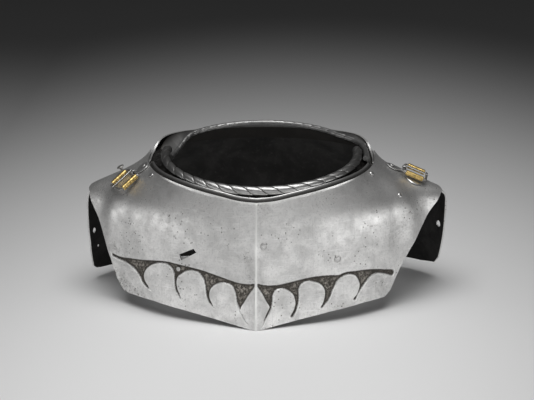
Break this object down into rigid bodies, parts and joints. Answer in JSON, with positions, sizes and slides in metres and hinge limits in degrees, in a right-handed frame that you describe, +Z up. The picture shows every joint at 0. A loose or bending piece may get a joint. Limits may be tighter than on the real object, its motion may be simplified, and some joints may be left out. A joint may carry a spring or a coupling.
{
  "type": "steel gorget",
  "caption": "Steel gorget with a ridged front plate, a scalloped embossed band, a roped collar, a back plate and buckles on both shoulders",
  "frame": {"origin": "middle of the base, on the floor under the middle of the whole", "axes": "+X to the viewer's right across the shoulders, -Y the front, +Z up"},
  "size_m": [0.3118, 0.2168, 0.1325],
  "materials": {
    "steel": "satin, aged and pitted",
    "dark_steel": "dull, darkened",
    "brass": "worn, slightly shiny"
  },
  "bodies": {
    "gorget": {"front_plate": "steel", "neck_lame": "steel", "front_collar": "steel", "back_plate": "steel", "back_collar": "steel", "closing_stud": "steel", "shoulder_pivot": "steel", "plug_rivet_centre": "steel", "plug_rivet_right": "steel", "side_rivet_right": "steel", "band_rivet_left": "steel", "neck_rivet_left": "steel", "neck_rivet_right": "steel", "hasp_left": "dark_steel", "hasp_right": "dark_steel", "hasp_rivet_left": "steel", "hasp_rivet_right": "steel"},
    "buckle_left_frame": {"buckle_left": "dark_steel"},
    "prong_left_strip": {"prong_left": "steel"},
    "roller_left_front_tube": {"roller_left_front": "brass"},
    "roller_left_back_tube": {"roller_left_back": "brass"},
    "buckle_right_frame": {"buckle_right": "dark_steel"},
    "prong_right_strip": {"prong_right": "steel"},
    "roller_right_front_tube": {"roller_right_front": "brass"},
    "roller_right_back_tube": {"roller_right_back": "brass"}
  },
  "joints": [
    {"name": "buckle_left_swing", "type": "hinge", "parent": "gorget", "child": "buckle_left_frame", "pos_m": [-0.11098, -0.01971, 0.11038], "axis": [-0.4989, 0.8647, -0.0581], "range_deg": [0, 90]},
    {"name": "prong_left_swing", "type": "hinge", "parent": "buckle_left_frame", "child": "prong_left_strip", "pos_m": [-0.11098, -0.01971, 0.11038], "axis": [-0.4989, 0.8647, -0.0581], "range_deg": [0, 60]},
    {"name": "roller_left_front_spin", "type": "hinge", "parent": "buckle_left_frame", "child": "roller_left_front_tube", "pos_m": [-0.11241, -0.0336, 0.10528], "axis": [-0.6917, -0.4377, -0.5744], "continuous": true},
    {"name": "roller_left_back_spin", "type": "hinge", "parent": "buckle_left_frame", "child": "roller_left_back_tube", "pos_m": [-0.12338, -0.01458, 0.104], "axis": [-0.6917, -0.4377, -0.5744], "continuous": true},
    {"name": "buckle_right_swing", "type": "hinge", "parent": "gorget", "child": "buckle_right_frame", "pos_m": [0.11918, 0.00465, 0.1089], "axis": [-0.0774, -0.997, 0.0022], "range_deg": [0, 90]},
    {"name": "prong_right_swing", "type": "hinge", "parent": "buckle_right_frame", "child": "prong_right_strip", "pos_m": [0.11918, 0.00465, 0.1089], "axis": [-0.0774, -0.997, 0.0022], "range_deg": [0, 60]},
    {"name": "roller_right_front_spin", "type": "hinge", "parent": "buckle_right_frame", "child": "roller_right_front_tube", "pos_m": [0.12754, -0.00704, 0.1051], "axis": [0.921, -0.0723, -0.3828], "continuous": true},
    {"name": "roller_right_back_spin", "type": "hinge", "parent": "buckle_right_frame", "child": "roller_right_back_tube", "pos_m": [0.12924, 0.01489, 0.10505], "axis": [0.921, -0.0723, -0.3828], "continuous": true}
  ]
}
